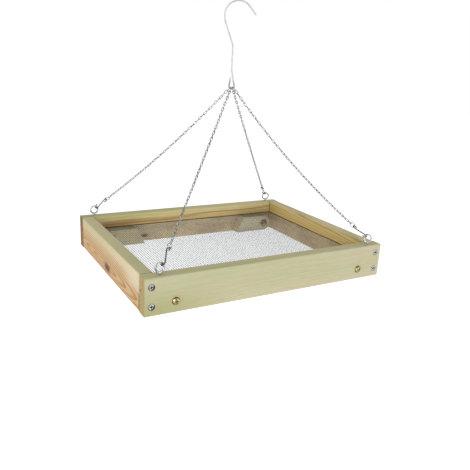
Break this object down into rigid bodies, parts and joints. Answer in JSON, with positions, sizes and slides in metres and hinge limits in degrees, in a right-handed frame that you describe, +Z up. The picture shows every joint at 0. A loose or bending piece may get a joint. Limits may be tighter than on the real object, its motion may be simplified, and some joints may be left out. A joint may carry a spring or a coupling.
{
  "type": "platform bird feeder",
  "caption": "Shallow wooden tray with a wire mesh floor and folding bolted legs, hung by four chains from the loop of a bent wire hook.",
  "frame": {"origin": "middle of the tray's underside", "axes": "+X along the long rails to the right, +Y to the back, +Z up; the feeder hangs level"},
  "size_m": [0.336, 0.2732, 0.3431],
  "materials": {
    "pine_front": "planed, pressure treated",
    "pine_back": "planed, pressure treated",
    "pine_left": "planed, pressure treated, warm grain",
    "pine_right": "planed, pressure treated",
    "pine_leg": "planed, pressure treated",
    "mesh_wire": "galvanised",
    "zinc_screw": "zinc plated",
    "bright_wire": "zinc plated, bright",
    "chain_wire": "zinc plated",
    "hook_wire": "zinc plated, light",
    "yellow_zinc": "yellow zinc"
  },
  "bodies": {
    "hook": {"hook": "hook_wire"},
    "tray": {"front_rail": "pine_front", "back_rail": "pine_back", "left_rail": "pine_left", "right_rail": "pine_right", "mesh_floor": "mesh_wire", "rail_screws": "zinc_screw", "screw_eye_fl": "bright_wire", "screw_eye_fr": "bright_wire", "screw_eye_bl": "bright_wire", "screw_eye_br": "bright_wire", "s_hook_fl": "bright_wire", "s_hook_fr": "bright_wire", "s_hook_bl": "bright_wire", "s_hook_br": "bright_wire", "chain_fl": "chain_wire", "chain_fr": "chain_wire", "chain_bl": "chain_wire", "chain_br": "chain_wire", "leg_bolt_fl": "yellow_zinc", "leg_bolt_fr": "yellow_zinc", "leg_bolt_bl": "yellow_zinc", "leg_bolt_br": "yellow_zinc", "leg_washer_fl": "yellow_zinc", "leg_washer_fr": "yellow_zinc", "leg_washer_bl": "yellow_zinc", "leg_washer_br": "yellow_zinc", "leg_nut_fl": "yellow_zinc", "leg_nut_fr": "yellow_zinc", "leg_nut_bl": "yellow_zinc", "leg_nut_br": "yellow_zinc"},
    "front_left_leg": {"leg_fl": "pine_leg"},
    "front_right_leg": {"leg_fr": "pine_leg"},
    "back_left_leg": {"leg_bl": "pine_leg"},
    "back_right_leg": {"leg_br": "pine_leg"}
  },
  "joints": [
    {"name": "tray_swing", "type": "hinge", "parent": "hook", "child": "tray", "pos_m": [0, 0, 0.2389], "axis": [0.5, 0.866, 0], "range_deg": [-20, 20]},
    {"name": "front_left_leg_fold", "type": "hinge", "parent": "tray", "child": "front_left_leg", "pos_m": [-0.1315, -0.1093, 0.0139], "axis": [0, 1, 0], "range_deg": [0, 117]},
    {"name": "front_right_leg_fold", "type": "hinge", "parent": "tray", "child": "front_right_leg", "pos_m": [0.1315, -0.1093, 0.0139], "axis": [0, -1, 0], "range_deg": [0, 117]},
    {"name": "back_left_leg_fold", "type": "hinge", "parent": "tray", "child": "back_left_leg", "pos_m": [-0.1315, 0.1093, 0.0139], "axis": [0, 1, 0], "range_deg": [0, 117]},
    {"name": "back_right_leg_fold", "type": "hinge", "parent": "tray", "child": "back_right_leg", "pos_m": [0.1315, 0.1093, 0.0139], "axis": [0, -1, 0], "range_deg": [0, 117]}
  ]
}
